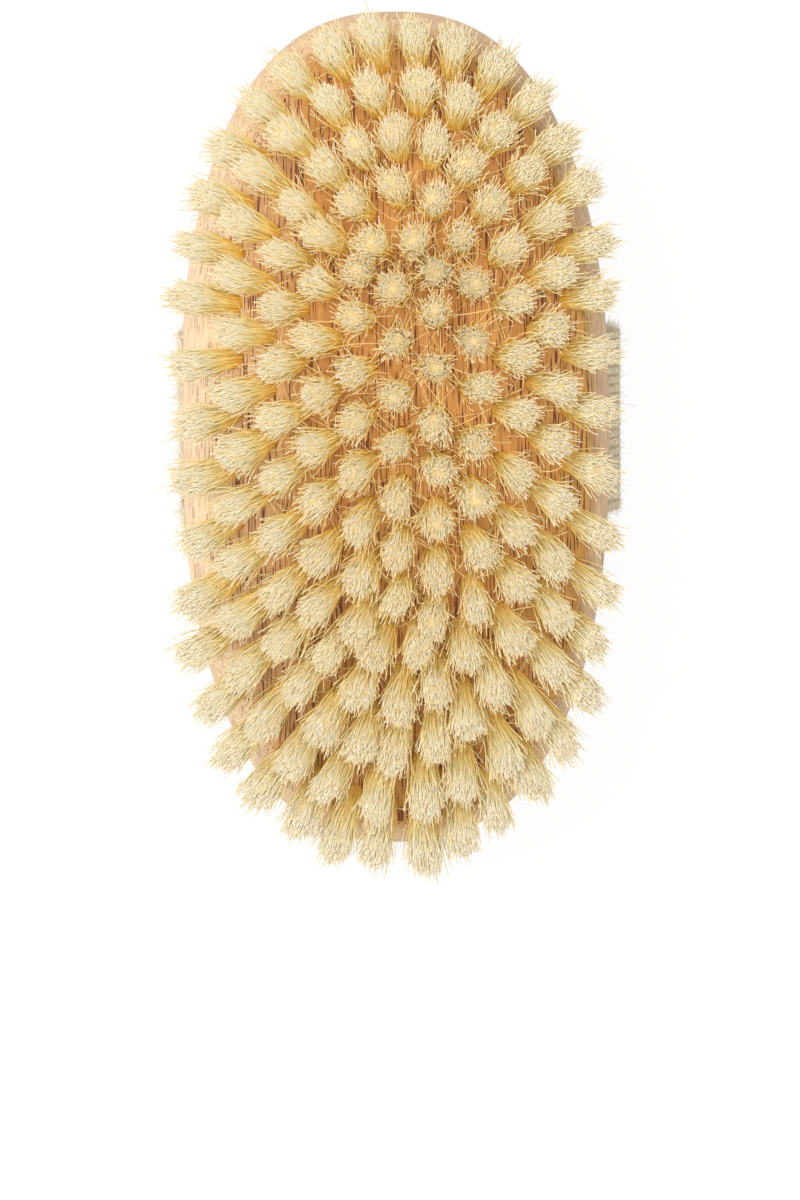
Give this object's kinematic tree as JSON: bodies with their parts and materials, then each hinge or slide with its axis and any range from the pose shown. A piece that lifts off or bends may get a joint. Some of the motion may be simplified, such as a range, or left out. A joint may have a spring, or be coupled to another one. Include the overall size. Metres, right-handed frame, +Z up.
{
  "type": "body brush",
  "caption": "Oval wooden palm body brush with fan-set rows of stiff plant-fibre tufts and a woven strap across its back for the hand.",
  "frame": {"origin": "on the surface the brush lies on, under the centre of its block", "axes": "+X across the width, +Y along the length, +Z up out of the bristle face"},
  "size_m": [0.0776, 0.136, 0.0642],
  "materials": {
    "wood": "bare sanded beech",
    "webbing": "undyed woven cotton",
    "nail": "plain flat head, sunk flush",
    "fibre": "undyed plant fibre"
  },
  "bodies": {
    "root": {"wooden_block": "wood", "hand_strap": "webbing", "strap_nail_left_1": "nail", "strap_nail_left_2": "nail", "strap_nail_left_3": "nail", "strap_nail_right_1": "nail", "strap_nail_right_2": "nail", "strap_nail_right_3": "nail", "tufts_centre": "fibre", "tufts_inner_ring": "fibre", "tufts_middle_ring": "fibre", "tufts_outer_ring": "fibre"}
  },
  "joints": []
}
